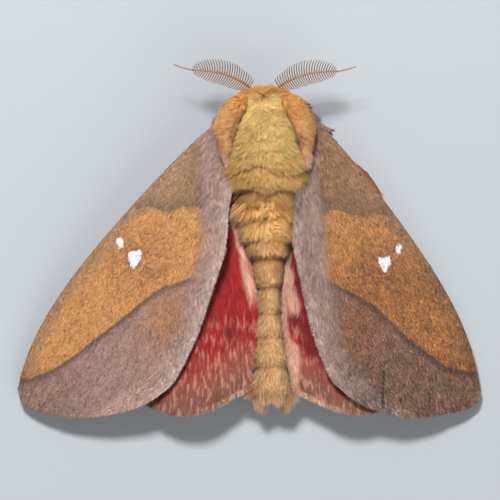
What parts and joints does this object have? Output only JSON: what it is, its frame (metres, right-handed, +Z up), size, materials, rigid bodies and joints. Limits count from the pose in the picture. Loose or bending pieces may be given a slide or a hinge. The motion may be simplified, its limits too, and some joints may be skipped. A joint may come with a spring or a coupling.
{
  "type": "royal moth",
  "caption": "Life-size still model of a resting male royal moth with a furry body, roofed wings, comb feelers and legs on small flats.",
  "frame": {"origin": "middle of the whole model's box in X and Y, on the floor that the feet stand on", "axes": "+X to the moth's right, +Y towards its head, +Z up"},
  "size_m": [0.0509, 0.0394, 0.0117],
  "materials": {
    "thorax_fur": "dense yellow ochre fur",
    "body_fur": "short tan and ochre fur",
    "shoulder_fur": "short orange tan fur",
    "forewing": "matt scales, ochre with grey brown bands and white spots",
    "hindwing": "matt crimson and rose scales",
    "eye": "dark and shiny",
    "feeler": "amber brown, slightly shiny",
    "leg_fur": "short grey pink fur"
  },
  "bodies": {
    "root": {"abdomen": "body_fur", "antenna_left": "feeler", "antenna_right": "feeler", "collar": "shoulder_fur", "eye_left": "eye", "eye_right": "eye", "foreleg_left": "leg_fur", "foreleg_right": "leg_fur", "forewing_left": "forewing", "forewing_right": "forewing", "head": "shoulder_fur", "hindleg_left": "leg_fur", "hindleg_right": "leg_fur", "hindwing_left": "hindwing", "hindwing_right": "hindwing", "midleg_left": "leg_fur", "midleg_right": "leg_fur", "palp_left": "shoulder_fur", "palp_right": "shoulder_fur", "tegula_left": "shoulder_fur", "tegula_right": "shoulder_fur", "thorax": "thorax_fur"}
  },
  "joints": []
}
